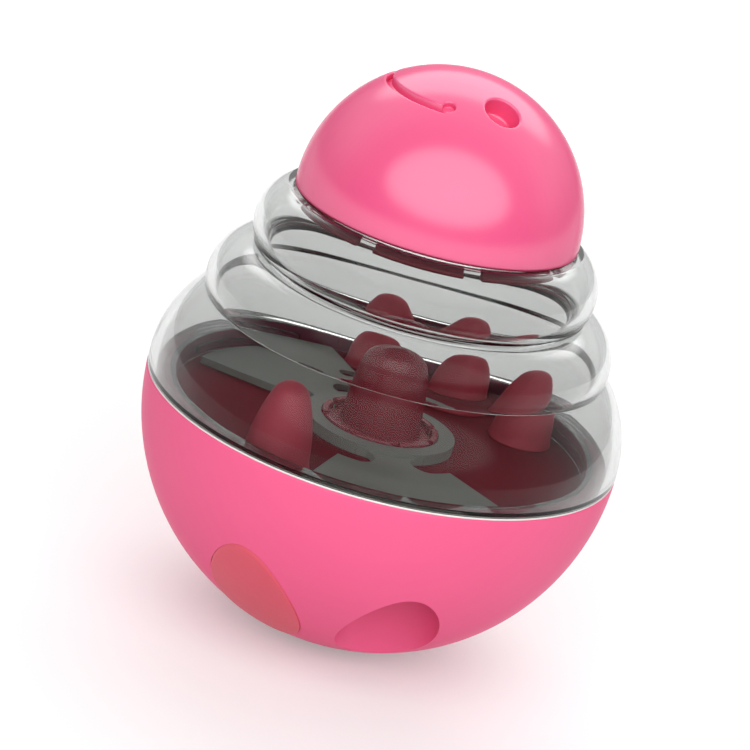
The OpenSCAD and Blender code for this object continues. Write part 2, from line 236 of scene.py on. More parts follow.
def makePlastic(name, look):
    # melt flow shifts the colour a little over some centimetres, the mould's grain breaks up the gloss;
    # real grain is under 0.1 mm, and is drawn coarser here so that it shows
    material, tree, shader, spot = startMaterial(name, IOR=look["ior"])
    facing = addNode(tree, "ShaderNodeLayerWeight", {"Blend": 0.5})
    fadeLow, fadeHigh = plasticSkin["shineFade"]
    shine = addNode(tree, "ShaderNodeMapRange", {"From Min": fadeLow, "From Max": fadeHigh,
                                                 "To Min": look["specular"], "To Max": look["edgeShine"]},
                    {"Value": facing.outputs["Facing"]})
    tree.links.new(shine.outputs["Result"], shader.inputs["Specular IOR Level"])
    flow = addNode(tree, "ShaderNodeTexNoise", {"Scale": perMetre(look["flowMm"]), "Detail": 2.0},
                   {"Vector": spot})
    tint = addNode(tree, "ShaderNodeMix", {6: linear(look["colour"]), 7: linear(look["shade"])},
                   {0: flow.outputs["Fac"]}, data_type="RGBA")
    tree.links.new(tint.outputs[2], shader.inputs["Base Color"])
    grain = addNode(tree, "ShaderNodeTexNoise", {"Scale": perMetre(look["grainMm"]), "Detail": 3.0},
                    {"Vector": spot})
    gloss = addNode(tree, "ShaderNodeMapRange", {"To Min": look["rough"][0], "To Max": look["rough"][1]},
                    {"Value": grain.outputs["Fac"]})
    tree.links.new(gloss.outputs["Result"], shader.inputs["Roughness"])
    bump = addNode(tree, "ShaderNodeBump", {"Strength": look["bump"],
                                            "Distance": plasticSkin["reliefMm"] * mm},
                   {"Height": grain.outputs["Fac"]})
    tree.links.new(bump.outputs["Normal"], shader.inputs["Normal"])
    return material


# injection-moulded ABS from a polished mould: even pink with a broad soft shine
pinkAbs = makePlastic("abs_pink_polished", {
    "colour": "#f35b8d", "shade": "#ee5587", "flowMm": 30, "grainMm": 0.7, "rough": (0.17, 0.22),
    "bump": 0.01, "ior": 1.5, "specular": 0.9, "edgeShine": 0.05})
# the same ABS with a satin face on the bowl, which is rolled about: no mirror of the floor
satinAbs = makePlastic("abs_pink_satin", {
    "colour": "#fa6695", "shade": "#f5608f", "flowMm": 30, "grainMm": 0.7, "rough": (0.36, 0.44),
    "bump": 0.02, "ior": 1.5, "specular": 0.25, "edgeShine": 0.05})
# ABS in a deeper red, polished, on the post: dark with a soft glint; the deeper red is painted shade, the
# pink plastic darkened for the dimness under the dome and clear body
shadedInnerAbs = makePlastic("abs_pink_painted_shade_glossy", {
    "colour": "#b5394d", "shade": "#a93245", "flowMm": 24, "grainMm": 0.6, "rough": (0.22, 0.3),
    "bump": 0.03, "ior": 1.5, "specular": 0.65, "edgeShine": 0.1})
# the same deeper red from a matte mould, on the floor and the dome's fingers: stays dark inside; this is
# painted shade, the pink plastic darkened to stand in for the shade inside the clear body
shadedMatteAbs = makePlastic("abs_pink_painted_shade_matte", {
    "colour": "#98303f", "shade": "#8c2a39", "flowMm": 24, "grainMm": 0.6, "rough": (0.45, 0.55),
    "bump": 0.03, "ior": 1.5, "specular": 0.1, "edgeShine": 0.0})
# moulded TPE rubber: warmer red and satin
redTpe = makePlastic("tpe_red_satin", {
    "colour": "#e85a6e", "shade": "#de5367", "flowMm": 18, "grainMm": 0.5, "rough": (0.42, 0.52),
    "bump": 0.05, "ior": 1.5, "specular": 0.4, "edgeShine": 0.3})
# spark-eroded grey ABS: matte
greyAbs = makePlastic("abs_grey_matte", {
    "colour": "#a3a7a1", "shade": "#999d97", "flowMm": 18, "grainMm": 0.6, "rough": (0.45, 0.55),
    "bump": 0.05, "ior": 1.5, "specular": 0.3, "edgeShine": 0.1})
# moulded silicone: soft white, no gloss
whiteSilicone = makePlastic("silicone_white_matte", {
    "colour": "#f4f4f1", "shade": "#ecece8", "flowMm": 12, "grainMm": 0.5, "rough": (0.5, 0.6),
    "bump": 0.04, "ior": 1.41, "specular": 0.4, "edgeShine": 0.3})
# natural polypropylene: pale and waxy
paleCover = makePlastic("polypropylene_pale", {
    "colour": "#d9dadb", "shade": "#d0d1d3", "flowMm": 15, "grainMm": 0.6, "rough": (0.4, 0.5),
    "bump": 0.04, "ior": 1.49, "specular": 0.5, "edgeShine": 0.3})


def makeMetal(name, look):
    # plating or a casting skin: mottled in colour, its gloss broken up by grain
    material, tree, shader, spot = startMaterial(name, Metallic=1.0)
    mottle = addNode(tree, "ShaderNodeTexNoise", {"Scale": perMetre(look["mottleMm"]), "Detail": 4.0},
                     {"Vector": spot})
    tint = addNode(tree, "ShaderNodeMix", {6: linear(look["colour"]), 7: linear(look["shade"])},
                   {0: mottle.outputs["Fac"]}, data_type="RGBA")
    tree.links.new(tint.outputs[2], shader.inputs["Base Color"])
    gloss = addNode(tree, "ShaderNodeMapRange", {"To Min": look["rough"][0], "To Max": look["rough"][1]},
                    {"Value": mottle.outputs["Fac"]})
    tree.links.new(gloss.outputs["Result"], shader.inputs["Roughness"])
    bump = addNode(tree, "ShaderNodeBump", {"Strength": look["bump"], "Distance": look["reliefMm"] * mm},
                   {"Height": mottle.outputs["Fac"]})
    tree.links.new(bump.outputs["Normal"], shader.inputs["Normal"])
    return material


# sand-cast iron: dark, pitted skin
castIron = makeMetal("cast_iron_raw", {"colour": "#6b6d6f", "shade": "#4f5153", "mottleMm": 1.5,
                                       "rough": (0.5, 0.75), "bump": 0.5, "reliefMm": 0.2})
# zinc-plated steel: pale grey with a fine mottle
zincSteel = makeMetal("steel_zinc_plated", {"colour": "#c3c6c9", "shade": "#b2b6ba", "mottleMm": 0.8,
                                            "rough": (0.25, 0.4), "bump": 0.1, "reliefMm": 0.2})

smokyLook = {"ior": 1.5, "rough": 0.012, "tint": "#d9dad9", "edgeTint": "#f3f4f3", "mirror": "#6c6c6c",
             "edgeMirror": "#ffffff", "aslant": (0.35, 0.7), "smoke": "#3f554b", "smokePerMm": 0.03,
             "rippleMm": 14, "ripple": 0.05, "reliefMm": 1}


def makeSmokyClear():
    # moulded polycarbonate, lightly smoked: grey where it is seen straight on, paler and shinier where it
    # slants away, darker with the depth of plastic, and a little wavy
    material, tree, shader, spot = startMaterial("polycarbonate_smoky", IOR=smokyLook["ior"])
    shader.inputs["Roughness"].default_value = smokyLook["rough"]
    shader.inputs["Transmission Weight"].default_value = 1.0
    facing = addNode(tree, "ShaderNodeLayerWeight", {"Blend": 0.5})
    slantLow, slantHigh = smokyLook["aslant"]
    aslant = addNode(tree, "ShaderNodeMapRange", {"From Min": slantLow, "From Max": slantHigh},
                     {"Value": facing.outputs["Facing"]})
    for socket, front, edge in (("Base Color", "tint", "edgeTint"),
                                ("Specular Tint", "mirror", "edgeMirror")):
        shift = addNode(tree, "ShaderNodeMix", {6: linear(smokyLook[front]), 7: linear(smokyLook[edge])},
                        {0: aslant.outputs["Result"]}, data_type="RGBA")
        tree.links.new(shift.outputs[2], shader.inputs[socket])
    smoke = addNode(tree, "ShaderNodeVolumeAbsorption", {"Color": linear(smokyLook["smoke"]),
                                                         "Density": smokyLook["smokePerMm"] / mm})
    output = next(n for n in tree.nodes if n.type == "OUTPUT_MATERIAL")
    tree.links.new(smoke.outputs["Volume"], output.inputs["Volume"])
    ripple = addNode(tree, "ShaderNodeTexNoise", {"Scale": perMetre(smokyLook["rippleMm"]), "Detail": 1.0},
                     {"Vector": spot})
    bump = addNode(tree, "ShaderNodeBump", {"Strength": smokyLook["ripple"],
                                            "Distance": smokyLook["reliefMm"] * mm},
                   {"Height": ripple.outputs["Fac"]})
    tree.links.new(bump.outputs["Normal"], shader.inputs["Normal"])
    return material


smokyClear = makeSmokyClear()

# the floor tray and the post take the pink ABS darkened with painted shade
for name, material in {
    "base_shell": satinAbs, "peg_tray": shadedMatteAbs, "dome_cap": pinkAbs, "center_post": shadedInnerAbs,
    "peg_front_left": redTpe, "peg_right": redTpe, "peg_back_right": redTpe, "peg_back": redTpe,
    "selector_plate": greyAbs, "seam_seal": whiteSilicone, "clear_body": smokyClear,
    "ballast_weight": castIron, "ballast_cover": paleCover, "ballast_screw": zincSteel,
    "post_washer": zincSteel, "post_screw": zincSteel,
}.items():
    nodes[name].data.materials.clear()
    nodes[name].data.materials.append(material)
print("materials made")


# places of the pegs and their tubes, from the frame
def middleOf(node):
    low, high = boxMm(node)
    return (low + high) / 2


def spanOf(node):
    low, high = boxMm(node)
    return high - low


pegNodes = ["peg_front_left", "peg_right", "peg_back_right", "peg_back"]
plugR = {node: min(spanOf(node).x, spanOf(node).y) / 2 for node in pegNodes}
pitchR = middleOf("peg_back_right").xy.length

trayT = 2.0
trayZ = floorZ - trayT
bowlSize = {"wall": 2.6, "rimRound": 0.5, "rimTurn": -0.6, "footR": 9.0, "seatR": 46.4, "shelfR": 45.0,
            "shelfH": 2.0, "collarR": 24.4, "collarWall": 2.4, "insideTop": 15.4, "pillarR": 4.5,
            "pilotR": 1.55, "pilotDeep": 8.0, "tubeWall": 1.7, "tubeTopDrop": 0.2, "tubeBallR": 49.3,
            "plugFit": 0.1, "outletBore": 9.8, "outletAngle": -90, "boreLow": -2,
            "ledgeLow": -2.0, "ledgeHigh": -0.4, "ledgeInR": 45.3, "ledgeArc": 55.3,
            "ledgeTurns": (60, 180, 300)}


def makeBowl():
    size = bowlSize
    inR = bowlR - size["wall"]
    edge, seat, shelfZ = size["rimRound"], size["seatR"], trayZ - size["shelfH"]
    collarIn, pilotZ = size["collarR"] - size["collarWall"], size["insideTop"] - size["pilotDeep"]
    inside = lambda r: -math.degrees(math.acos(r / inR))
    footTurn = -math.degrees(math.acos(size["footR"] / bowlR))
    shelfTurn = -math.degrees(math.asin((rimZ - shelfZ) / inR))
    outline = [(0, 0)] + arcPoints((0, rimZ), bowlR, footTurn, size["rimTurn"], 64)
    outline += arcPoints((bowlR - edge, rimZ - edge), edge, 0, 90, 6)
    outline += arcPoints((seat + edge, rimZ - edge), edge, 90, 180, 5)
    outline += [(seat, trayZ), (size["shelfR"], trayZ), (size["shelfR"], shelfZ)]
    outline += arcPoints((0, rimZ), inR, shelfTurn, inside(size["collarR"]), 30)
    outline += [(size["collarR"], size["insideTop"]), (collarIn, size["insideTop"])]
    outline += arcPoints((0, rimZ), inR, inside(collarIn), inside(size["pillarR"]), 12)
    outline += [(size["pillarR"], size["insideTop"]), (size["pilotR"], size["insideTop"])]
    outline += [(size["pilotR"], pilotZ), (0, pilotZ)]
    shell = turned("bowl_shell", outline, 180)
    # upright tubes for the pegs and the outlet, cut off at the ball
    turn = math.radians(size["outletAngle"])
    bores = [(pitchR * math.cos(turn), pitchR * math.sin(turn), size["outletBore"])]
    bores += [(*middleOf(node).xy, plugR[node] + size["plugFit"]) for node in pegNodes]
    top = trayZ - size["tubeTopDrop"]
    tubes = joined([place(pillar("tube", r + size["tubeWall"], 0, top), x, y) for x, y, r in bores])
    combine(tubes, turned("ball", arcPoints((0, rimZ), size["tubeBallR"], -90, 90, 73), 144), "INTERSECT")
    combine(shell, tubes, "UNION")
    # ledges that hold the clear body's lugs
    ledgeR, ledgeInR = seat + edge, size["ledgeInR"]
    low, high = rimZ + size["ledgeLow"], rimZ + size["ledgeHigh"]
    outline = [(ledgeInR, low), (ledgeR, low), (ledgeR, high), (ledgeInR, high), (ledgeInR, low)]
    ledge = turned("ledge", outline, 28, size["ledgeArc"])
    combine(shell, ringOf(ledge, size["ledgeTurns"]), "UNION")
    cuts = [place(pillar("bore", r, size["boreLow"], floorZ), x, y) for x, y, r in bores]
    combine(shell, joined(cuts), "DIFFERENCE")
    finish(shell, "base_shell", satinAbs)


def bulletLine(footR, height, tipR, baseZ):
    # a round-nosed peg: one large arc up its side that runs smoothly into the tip
    sideR = (footR ** 2 + (height - tipR) ** 2 - tipR ** 2) / (2 * footR - 2 * tipR)
    side, tip = (footR - sideR, baseZ), (0, baseZ + height - tipR)
    lean = angleOf(side, tip)
    return arcPoints(side, sideR, 0, lean, 16) + arcPoints(tip, tipR, lean, 90, 9)[1:]


pegSize = {"waistR": 6.6, "rootDeep": 1, "collarR": 7.0, "collarLow": 0.1, "collarEase": 0.2, "collarH": 1.4,
           "height": 17.3, "tipR": 4.0, "proud": 0.3, "footRound": 0.35, "footRows": (2, 4), "footDeep": 5,
           "topDrop": 0.1, "frontShift": -5.5}


def makePegs():
    size = pegSize
    collarZ, ease, rootZ = floorZ + size["collarLow"], size["collarEase"], trayZ - size["rootDeep"]
    line = bulletLine(size["waistR"], size["height"], size["tipR"], floorZ)
    outline = [(0, rootZ), (size["waistR"], rootZ), (size["waistR"], collarZ),
               (size["collarR"] - ease, collarZ), (size["collarR"], collarZ + ease)]
    outline += [p for p in line if p[1] > collarZ + size["collarH"]]
    bullet = turned("peg", outline, 72)
    edge, plugTop, ball = size["footRound"], trayZ - size["topDrop"], bowlR + size["proud"]
    for node in pegNodes:
        # the plug is turned on a flat foot, which is then dropped on to the ball of the bowl
        middle, radius = middleOf(node), plugR[node]
        outline = [((radius - edge) * i / 8, 0) for i in range(9)]
        outline += arcPoints((radius - edge, edge), edge, -90, 0, 6)[1:]
        outline += [(radius, z) for z in (*size["footRows"], plugTop)] + [(0, plugTop)]
        peg = place(turned(node + "_rubber", outline, 96), middle.x, middle.y)
        for vertex in peg.data.vertices:
            x, y, z = vertex.co / mm
            if z < size["footDeep"]:
                vertex.co.z = (rimZ - math.sqrt(ball * ball - x * x - y * y) + z) * mm
        shift = size["frontShift"] if node == pegNodes[0] else 0
        turn = math.atan2(middle.y, middle.x) + math.radians(shift)
        top = place(copyOf(bullet, "top"), pitchR * math.cos(turn), pitchR * math.sin(turn))
        combine(peg, top, "UNION")
        finish(peg, node, redTpe, 40)
    bpy.data.objects.remove(bullet, do_unlink=True)


postSize = {"stemR": 3.95, "stemEase": 0.3, "pilotR": 1.55, "pilotDeep": 8.0, "baseLift": 0.2,
            "crownR": 12.4, "crownWall": 1.4, "crownFloor": 1.4, "crownH": 3.0, "round": 0.35,
            "notches": 8, "notchW": 1.8, "notchOver": 1, "footR": 8.4, "height": 21.4, "tipR": 6.9,
            "blend": 0.8, "blendGap": 0.2}


def makePost():
    size = postSize
    low, baseZ, edge = boxMm("center_post")[0].z, floorZ + size["baseLift"], size["round"]
    topZ, dishZ, pilotZ = baseZ + size["crownH"], baseZ + size["crownFloor"], low + size["pilotDeep"]
    crownIn, stemR, ease = size["crownR"] - size["crownWall"], size["stemR"], size["stemEase"]
    outline = [(0, pilotZ), (size["pilotR"], pilotZ), (size["pilotR"], low)]
    outline += [(stemR - ease, low), (stemR, low + ease), (stemR, baseZ)]
    outline += arcPoints((size["crownR"] - edge, baseZ + edge), edge, -90, 0, 4)
    outline += arcPoints((size["crownR"] - edge, topZ - edge), edge, 0, 90, 5)
    outline += arcPoints((crownIn + edge, topZ - edge), edge, 90, 180, 5)
    outline += arcPoints((crownIn - edge, dishZ + edge), edge, 0, -90, 4)
    blend, over = size["blend"], size["notchOver"]
    outline += arcPoints((size["footR"] + blend, dishZ + blend), blend, 270, 190, 6)
    line = bulletLine(size["footR"], size["height"], size["tipR"], baseZ)
    outline += [p for p in line if p[1] > dishZ + blend + size["blendGap"]]
    post = turned("post_pink", outline, 128)
    notch = block("notch", (size["crownWall"] + over, size["notchW"], size["crownH"] + over),
                  crownIn + size["crownWall"] / 2, baseZ + size["crownH"] / 2)
    turns = [360 * i / size["notches"] for i in range(size["notches"])]
    combine(post, ringOf(notch, turns), "DIFFERENCE")
    # the post takes the pink ABS with painted shade
    finish(post, "center_post", shadedInnerAbs)


sealSize = {"pressed": 0.4, "width": 1.6, "round": 0.12}  # the clear body presses it thin
sealZ = boxMm("seam_seal")[0].z + sealSize["pressed"]


def makeSeal():
    low, high = boxMm("seam_seal")
    edge, outR, inR = sealSize["round"], high.x, high.x - sealSize["width"]
    corners = ((outR - edge, low.z + edge, -90), (outR - edge, sealZ - edge, 0),
               (inR + edge, sealZ - edge, 90), (inR + edge, low.z + edge, 180))
    outline = [p for r, z, start in corners for p in arcPoints((r, z), edge, start, start + 90, 4)]
    seal = turned("seal_ring", outline + outline[:1], 192)
    finish(seal, "seam_seal", whiteSilicone)


# each ring is an arc in the r-z plane: its middle, counted from the axis and the rim, and its radius
clearSize = {"wall": 2.0, "round": 0.3, "crease": 0.15, "footW": 1.6, "footRise": 0.3, "sideDrop": 0.1,
             "neckR": 44.9, "neckWall": 0.9, "neckRise": 0.6, "neckDrop": 4.5,
             "skirt": (26.5, 1.5, 23.5), "ring1": (33.4, 21.5, 9.2), "ring2": (26.9, 35.4, 9.0),
             "ridgeR": 32.13, "ringSplit": 10, "lipBoreR": 28.0, "lipGap": 0.3, "lipInR": 28.8,
             "lipDrop": 2.0, "lugReach": 1.1, "lugRoot": 0.5, "lugArc": 40, "lugTurns": (0, 120, 240),
             "lugLow": -4.1, "lugHigh": -2.4}


def creaseRun(first, firstR, second, secondR, fillet):
    # small arc that rounds the crease between two circles, and where it leaves each of them
    middle = meetOf(first, firstR + fillet, second, secondR + fillet)
    start, end = angleOf(middle, first), angleOf(middle, second)
    if end - start > 180:
        end -= 360
    if start - end > 180:
        end += 360
    return angleOf(first, middle), arcPoints(middle, fillet, start, end, 7)[1:-1], angleOf(second, middle)


def makeClear():
    size = clearSize
    lift = lambda circle: ((circle[0], circle[1] + rimZ), circle[2])
    skirt, skirtR = lift(size["skirt"])
    low, lowR = lift(size["ring1"])
    high, highR = lift(size["ring2"])
    wall, edge, fillet, neckR = size["wall"], size["round"], size["crease"], size["neckR"]
    skirtEnd, lowCrease, lowStart = creaseRun(skirt, skirtR, low, lowR, fillet)
    lowEnd, highCrease, highStart = creaseRun(low, lowR, high, highR, fillet)
    # up the outside, from the foot over the three rings to the lip
    lipTop = lipZ - size["lipGap"]
    lipAngle = math.degrees(math.asin((lipTop - high[1]) / highR))
    outline = arcPoints((bowlR - edge, sealZ + edge), edge, -90, 0, 5)
    outline += [(bowlR, skirt[1] - size["sideDrop"])]
    outline += arcPoints(skirt, skirtR, 0, skirtEnd, 30) + lowCrease
    outline += arcPoints(low, lowR, lowStart, lowEnd, 26) + highCrease
    outline += arcPoints(high, highR, highStart, lipAngle, 30)
    outline += arcPoints((size["lipBoreR"] + edge, lipTop - edge), edge, 90, 180, 4)
    # down the inside
    lipLow, split = lipZ - size["lipDrop"], size["ringSplit"]
    inHigh, inLow, inSkirt = highR - wall, lowR - wall, skirtR - wall
    outline += [(size["lipBoreR"], lipLow), (size["lipInR"], lipLow)]
    lipMeet = math.degrees(math.acos((size["lipInR"] - high[0]) / inHigh))
    ridgeHigh = -math.degrees(math.acos((size["ridgeR"] - high[0]) / inHigh))
    ridgeLow = math.degrees(math.acos((size["ridgeR"] - low[0]) / inLow))
    outline += arcPoints(high, inHigh, lipMeet, ridgeHigh, 24)
    outline += arcPoints(low, inLow, ridgeLow, split, 20)[:-1]
    skirtEnd, innerCrease, lowStart = creaseRun(skirt, inSkirt, low, inLow, fillet)
    outline += arcPoints(low, inLow, split, lowStart, 8) + innerCrease[::-1]
    # the foot slopes in from the wall to the neck
    footAngle = math.degrees(math.asin((flangeZ + size["footRise"] - skirt[1]) / inSkirt))
    outline += arcPoints(skirt, inSkirt, skirtEnd, footAngle, 26)
    neckIn, neckTop, neckZ = neckR - size["neckWall"], rimZ + size["neckRise"], rimZ - size["neckDrop"]
    outline += [(neckIn + edge, neckTop), (neckIn, neckTop - edge)]
    outline += arcPoints((neckIn + edge, neckZ + edge), edge, 180, 270, 4)
    outline += arcPoints((neckR - edge, neckZ + edge), edge, -90, 0, 4)
    outline += [(neckR, rimZ - edge), (neckR + edge, rimZ + edge), (bowlR - size["footW"], sealZ)]
    body = turned("clear_body_shell", outline + outline[:1], 192)
    inR, outR = neckR - size["lugRoot"], neckR + size["lugReach"]
    lugLow, lugHigh = rimZ + size["lugLow"], rimZ + size["lugHigh"]
    outline = [(inR, lugLow), (outR, lugLow), (outR, lugHigh), (inR, lugHigh), (inR, lugLow)]
    lug = turned("lug", outline, 24, size["lugArc"])
    combine(body, ringOf(lug, size["lugTurns"]), "UNION")
    finish(body, "clear_body", smokyClear, 40)


domeSize = {"wall": 2.4, "band": 0.8, "edge": 0.4, "skirtR": 27.7, "skirtWall": 1.5, "skirtDrop": 3.6,
            "beadH": 0.8, "beadReach": 0.8, "beadEase": (0.2, 0.4), "fingers": 8, "fingerGap": 4.0,
            "fingerRoot": 0.3, "collarIn": 0.25, "shadeCollarDrop": 0.2, "rim": 0.45, "faceAngle": 170,
            "eyeR": 3.7, "eyePitch": 13.8, "eyeTurn": 111, "eyeDepth": 4.5, "eyeCorner": 0.8,
            "cupWall": 1.2, "cupRise": 0.8, "smilePitch": 16.2, "smileW": 1.1, "smileDepth": 1.4,
            "smileHalf": 67.5, "dotR": 1.25, "dotIn": 0.7, "dotCorner": 0.3}
# how far the shapes that cut the dome reach past it
cutSize = {"flareTurn": 12, "flareReach": 1.6, "pocketTop": 3, "smileTop": 4, "gapReach": 6, "gapIn": 0.5,
           "gapLow": 1}


def flare(r, side, rim):
    # rounded rim of a cut at radius r in the dome's r-z plane; it leaves the dome a little above its surface
    middle = (r + side * rim, math.sqrt((domeR - rim) ** 2 - (r + side * rim) ** 2))
    stop = math.degrees(math.atan2(middle[1], middle[0])) + side * cutSize["flareTurn"]
    points = arcPoints(middle, rim, 180 if side > 0 else 0, stop, 7)
    a, reach = math.radians(stop), side * cutSize["flareReach"]
    return points + [(points[-1][0] + reach * math.sin(a), points[-1][1] - reach * math.cos(a))]


def pocket(name, radius, depth, rim, corner):
    # round cut along the upright axis of the dome, with a rounded floor and a rounded rim
    floor, top = domeR - depth, domeR + cutSize["pocketTop"]
    outline = [(0, floor)] + arcPoints((radius - corner, floor + corner), corner, -90, 0, 5)
    outline += flare(radius, 1, rim)
    outline += [(outline[-1][0], top), (0, top)]
    return turned(name, outline, 64)


def makeDome():
    size = domeSize
    inR, band, edge, rim = domeR - size["wall"], size["band"], size["edge"], size["rim"]
    skirtR, skirtIn, face = size["skirtR"], size["skirtR"] - size["skirtWall"], size["faceAngle"]
    outline = arcPoints((0, 0), domeR, 90, 0, 90) + arcPoints((domeR - edge, edge - band), edge, 0, -90, 5)
    outline += [(skirtIn, -band)] + arcPoints((0, 0), inR, math.degrees(math.acos(skirtIn / inR)), 90, 30)
    dome = turned("dome_pink", outline, 192)
    # eyes: a closed cup behind each pocket
    lean = math.degrees(math.asin(size["eyePitch"] / domeR))
    turns = [face + side * size["eyeTurn"] for side in (-1, 1)]
    cupR, cupTop = size["eyeR"] + size["cupWall"], inR + size["cupRise"]
    cupFloor = domeR - size["eyeDepth"] - size["cupWall"]
    cups = [place(pillar("cup", cupR, cupFloor, cupTop, 64), tilt=lean, turn=t) for t in turns]
    combine(dome, joined(cups), "UNION")
    eyes = [place(pocket("eye", size["eyeR"], size["eyeDepth"], rim, size["eyeCorner"]), tilt=lean, turn=t)
            for t in turns]
    combine(dome, joined(eyes), "DIFFERENCE")
    # smile: a curved groove with a round dot at each end
    pitch = size["smilePitch"]
    inner, outer = pitch - size["smileW"] / 2, pitch + size["smileW"] / 2
    floorR = domeR - size["smileDepth"]
    low = [(r, math.sqrt(floorR * floorR - r * r)) for r in (inner, outer)]
    above = (pitch, math.sqrt(domeR ** 2 - pitch ** 2) + cutSize["smileTop"])
    groove = [low[0]] + flare(inner, -1, rim) + [above] + flare(outer, 1, rim)[::-1] + [low[1], low[0]]
    smile = place(turned("smile", groove, 96, 2 * size["smileHalf"]), turn=face)
    combine(dome, smile, "DIFFERENCE")
    lean = math.degrees(math.asin((pitch - size["dotIn"]) / domeR))
    turns = [face + side * size["smileHalf"] for side in (-1, 1)]
    dots = [place(pocket("dot", size["dotR"], size["smileDepth"], rim, size["dotCorner"]), tilt=lean, turn=t)
            for t in turns]
    combine(dome, joined(dots), "DIFFERENCE")
    # snap fingers under the dome, on a thin collar that drops into the gap over the clear lip; fingers and
    # collar take the matte red with painted shade, and the collar is a painted shadow line under the dome's
    # edge
    root, foot = size["fingerRoot"] - band, -band - size["skirtDrop"]
    bead, beadZ = skirtR + size["beadReach"], foot + size["beadH"]
    collarR, collarZ = domeR - size["collarIn"], -band - size["shadeCollarDrop"]
    outline = [(skirtIn, root), (collarR, root), (collarR, collarZ), (skirtR, collarZ), (skirtR, beadZ),
               (bead - size["beadEase"][0], beadZ), (bead, foot + size["beadH"] / 2),
               (bead - size["beadEase"][1], foot), (skirtIn, foot), (skirtIn, root)]
    gapLow = foot - cutSize["gapLow"]
    gap = block("gap", (cutSize["gapReach"], size["fingerGap"], collarZ - gapLow),
                skirtR - cutSize["gapIn"], (collarZ + gapLow) / 2)
    fingers = turned("dome_fingers", outline, 192)
    turns = [360 * i / size["fingers"] for i in range(size["fingers"])]
    combine(fingers, ringOf(gap, turns), "DIFFERENCE")
    finish(place(dome, z=domeZ), "dome_cap", pinkAbs)
    # the fingers and their collar in the matte red with painted shade
    finish(place(fingers, z=domeZ), "dome_cap", shadedMatteAbs)


def softened(node, name, width, material):
    # the CAD shape with its moulded or turned edges eased
    mesh = nodes[node].data.copy()
    mesh.transform(nodes[node].matrix_world)
    piece = bpy.data.objects.new(name, mesh)
    bpy.context.scene.collection.objects.link(piece)
    mesh.name = name
    selectOnly(piece)
    bpy.ops.mesh.customdata_custom_splitnormals_clear()
    bpy.ops.object.mode_set(mode="EDIT")
    bpy.ops.mesh.select_all(action="SELECT")
    bpy.ops.mesh.remove_doubles(threshold=meshSize["cadMerge"] * mm)
    bpy.ops.mesh.dissolve_limited(angle_limit=math.radians(meshSize["flat"]))
    bpy.ops.mesh.normals_make_consistent(inside=False)
    bpy.ops.object.mode_set(mode="OBJECT")
    ease = piece.modifiers.new("ease", "BEVEL")
    ease.width, ease.segments = width * mm, meshSize["easeRows"]
    ease.limit_method, ease.angle_limit = "ANGLE", math.radians(meshSize["easeFrom"])
    bpy.ops.object.modifier_apply(modifier=ease.name)
    finish(piece, node, material)


makeBowl()
makePegs()
makePost()
makeClear()
makeDome()
makeSeal()
# the floor tray takes the matte red with painted shade
for node, name, width, material, slot in (
        ("peg_tray", "floor_tray", 0.3, shadedMatteAbs, "pink_shell"),
        ("selector_plate", "selector_grey", 0.3, greyAbs, "grey_plastic"),
        ("ballast_weight", "ballast_cast", 0.6, castIron, "ballast_iron"),
        ("ballast_cover", "ballast_lid", 0.3, paleCover, "cover_plastic"),
        ("ballast_screw", "ballast_fixing", 0.15, zincSteel, "screw_steel"),
        ("post_washer", "post_disc", 0.1, zincSteel, "screw_steel"),
        ("post_screw", "post_fixing", 0.15, zincSteel, "screw_steel")):
    softened(node, name, width, material)


# camera, fitted to the photo's outlines
shot = {"frame": 750, "focal": 2690, "rimCentre": (383.2, 411.1), "distance": 558.1, "elevation": 19.6,
        "roll": 15.2, "azimuth": -20}


def makeCamera():
    lift, roll = math.radians(shot["elevation"]), math.radians(shot["roll"])
    right = Vector((1, 0, 0))
    up = Vector((0, math.sin(lift), math.cos(lift)))
    forward = Vector((0, math.cos(lift), -math.sin(lift)))
    across = math.cos(roll) * right + math.sin(roll) * up
    upright = math.cos(roll) * up - math.sin(roll) * right
    depth = shot["distance"] * mm
    aside = (shot["rimCentre"][0] - shot["frame"] / 2) / shot["focal"] * depth
    above = (shot["frame"] / 2 - shot["rimCentre"][1]) / shot["focal"] * depth
    spot = -(aside * across + above * upright + depth * forward)
    pose = Matrix((across, upright, -forward)).transposed().to_4x4()
    pose.translation = spot
    turn = Matrix.Rotation(math.radians(shot["azimuth"]), 4, "Z")
    data = bpy.data.cameras.new("photo_camera")
    data.sensor_width = 36
    data.lens = shot["focal"] / shot["frame"] * data.sensor_width
    camera = bpy.data.objects.new("photo_camera", data)
    bpy.context.scene.collection.objects.link(camera)
    camera.matrix_world = Matrix.Translation((0, 0, rimZ * mm)) @ turn @ pose
    bpy.context.scene.camera = camera
    return camera


camera = makeCamera()
print("camera placed at", [round(c / mm, 1) for c in camera.location])


# studio: white surroundings that darken towards the horizon and behind the camera, and softboxes with soft
# edges, each with its turn from the camera, height in degrees, distance and size in metres, and watts
studio = {"soft": 0.55, "horizon": 0.5, "bright": 0.45, "front": (-0.34, -0.94, 0), "frontFade": (-0.4, 0.5),
          "frontLevel": 0.3, "floorColour": "#dcdcdc", "floorLift": (0.28, 0.72), "floorFade": (0.12, 0.9),
          "floorSize": 4.0, "softEdge": (0.5, 0.34),
          "softboxes": [("front_softbox", 4, 38, 0.75, (1.9, 0.95), 13.4),
                        ("back_softbox", 180, 45, 0.7, (1.2, 0.6), 5.0)]}


